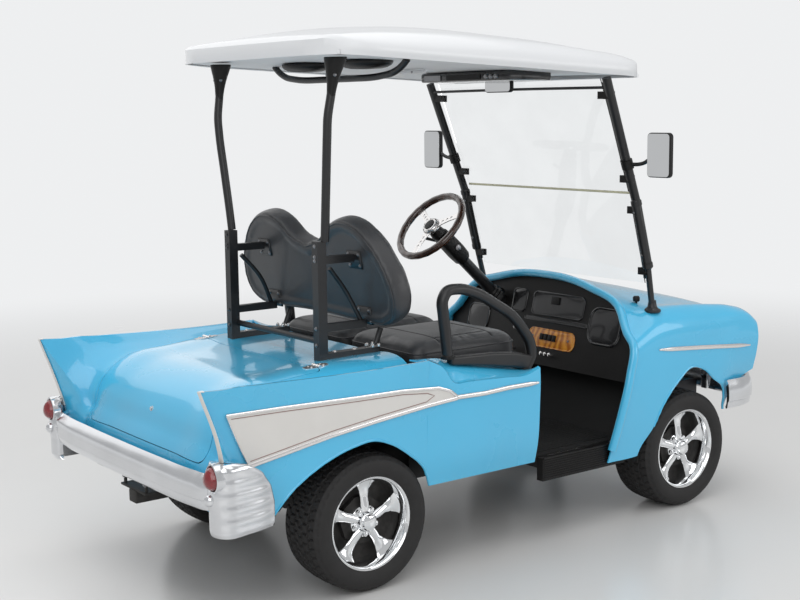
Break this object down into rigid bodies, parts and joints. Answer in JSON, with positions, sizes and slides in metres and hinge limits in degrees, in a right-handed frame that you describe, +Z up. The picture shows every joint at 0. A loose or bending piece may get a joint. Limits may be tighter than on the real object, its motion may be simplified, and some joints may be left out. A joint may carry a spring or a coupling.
{
  "type": "golf cart",
  "caption": "Two-seat golf cart with a finned glass-fibre body, lidded boot, roof on round struts, two-pane windscreen, bench seat and steered front wheels.",
  "frame": {"origin": "on the ground under the middle of the cart's overall length and width", "axes": "+Z up, -Y to the front, +X to the driver's side, which is the left"},
  "size_m": [1.568, 2.96, 2.039],
  "materials": {
    "body_paint": "gloss",
    "white_paint": "gloss",
    "black_paint": "satin",
    "chrome": "polished",
    "alloy": "polished",
    "steel": "satin",
    "iron": "matte",
    "tyre": "matte",
    "rubber": "matte",
    "dark_plastic": "matte",
    "wheel_grip": "satin",
    "vinyl": "satin",
    "red_lens": "gloss",
    "clear_lens": "gloss",
    "glass": "gloss"
  },
  "bodies": {
    "root": {"front_axle": "black_paint", "steering_gear": "black_paint", "chassis_frame": "black_paint", "cross_members": "black_paint", "front_springs": "steel", "rear_springs": "steel", "rear_axle": "black_paint", "floor_pan": "rubber", "sills": "dark_plastic", "seat_base": "dark_plastic", "battery_pack": "dark_plastic", "rear_body": "body_paint", "boot_tub": "dark_plastic", "front_body": "body_paint", "rear_bumper": "chrome", "front_bumper": "chrome", "grille": "chrome", "headlamps": "clear_lens", "tail_lamps": "red_lens", "side_inserts": "white_paint", "side_mouldings": "chrome", "dash_panel": "dark_plastic", "steering_column": "black_paint", "pedals": "rubber", "front_struts": "black_paint", "windscreen_lower": "glass", "windscreen_upper": "glass", "glass_clips": "dark_plastic", "roof": "white_paint", "rear_struts": "black_paint", "strut_sockets": "dark_plastic", "seat_cushion": "vinyl", "seat_back": "vinyl", "seat_back_shell": "dark_plastic", "seat_frame": "black_paint", "hip_restraints": "black_paint", "mirrors": "dark_plastic"},
    "knuckle_left": {"knuckle_left": "steel"},
    "knuckle_right": {"knuckle_right": "steel"},
    "wheel_front_left": {"wheel_rim_front_left": "alloy", "brake_drum_front_left": "iron", "tyre_front_left": "tyre"},
    "wheel_front_right": {"wheel_rim_front_right": "alloy", "brake_drum_front_right": "iron", "tyre_front_right": "tyre"},
    "wheel_rear_left": {"wheel_rim_rear_left": "alloy", "brake_drum_rear_left": "iron", "tyre_rear_left": "tyre"},
    "wheel_rear_right": {"wheel_rim_rear_right": "alloy", "brake_drum_rear_right": "iron", "tyre_rear_right": "tyre"},
    "tie_rod": {"tie_rod": "steel"},
    "steering_wheel": {"steering_wheel": "wheel_grip"},
    "boot_lid": {"boot_lid": "body_paint"}
  },
  "joints": [
    {"name": "steer_left", "type": "hinge", "parent": "root", "child": "knuckle_left", "pos_m": [0.362, -0.938, 0.254], "axis": [0, 0, 1], "range_deg": [-28, 28]},
    {"name": "steer_right", "type": "hinge", "parent": "root", "child": "knuckle_right", "pos_m": [-0.362, -0.938, 0.254], "axis": [0, 0, 1], "range_deg": [-28.5, 28.5]},
    {"name": "steering_wheel_turn", "type": "hinge", "parent": "root", "child": "steering_wheel", "pos_m": [0.27, -0.222, 1.212], "axis": [0, 0.7431, 0.6691], "range_deg": [-342, 342]},
    {"name": "rack_slide", "type": "slide", "parent": "root", "child": "tie_rod", "axis": [1, 0, 0], "range_m": [-0.0555, 0.0555]},
    {"name": "spin_front_left", "type": "hinge", "parent": "knuckle_left", "child": "wheel_front_left", "pos_m": [0.495, -0.938, 0.254], "axis": [1, 0, 0], "continuous": true},
    {"name": "spin_front_right", "type": "hinge", "parent": "knuckle_right", "child": "wheel_front_right", "pos_m": [-0.495, -0.938, 0.254], "axis": [1, 0, 0], "continuous": true},
    {"name": "spin_rear_left", "type": "hinge", "parent": "root", "child": "wheel_rear_left", "pos_m": [0.495, 0.738, 0.254], "axis": [1, 0, 0], "continuous": true},
    {"name": "spin_rear_right", "type": "hinge", "parent": "root", "child": "wheel_rear_right", "pos_m": [-0.495, 0.738, 0.254], "axis": [1, 0, 0], "continuous": true},
    {"name": "boot_lid_hinge", "type": "hinge", "parent": "root", "child": "boot_lid", "pos_m": [0, 0.838, 0.815], "axis": [1, 0, 0], "range_deg": [0, 68]}
  ],
  "couplings": [
    {"joint": "steer_right", "follows": "steer_left", "ratio": 1},
    {"joint": "steering_wheel_turn", "follows": "steer_left", "ratio": 12},
    {"joint": "rack_slide", "follows": "steer_left", "m_per_rad": -0.1105}
  ]
}
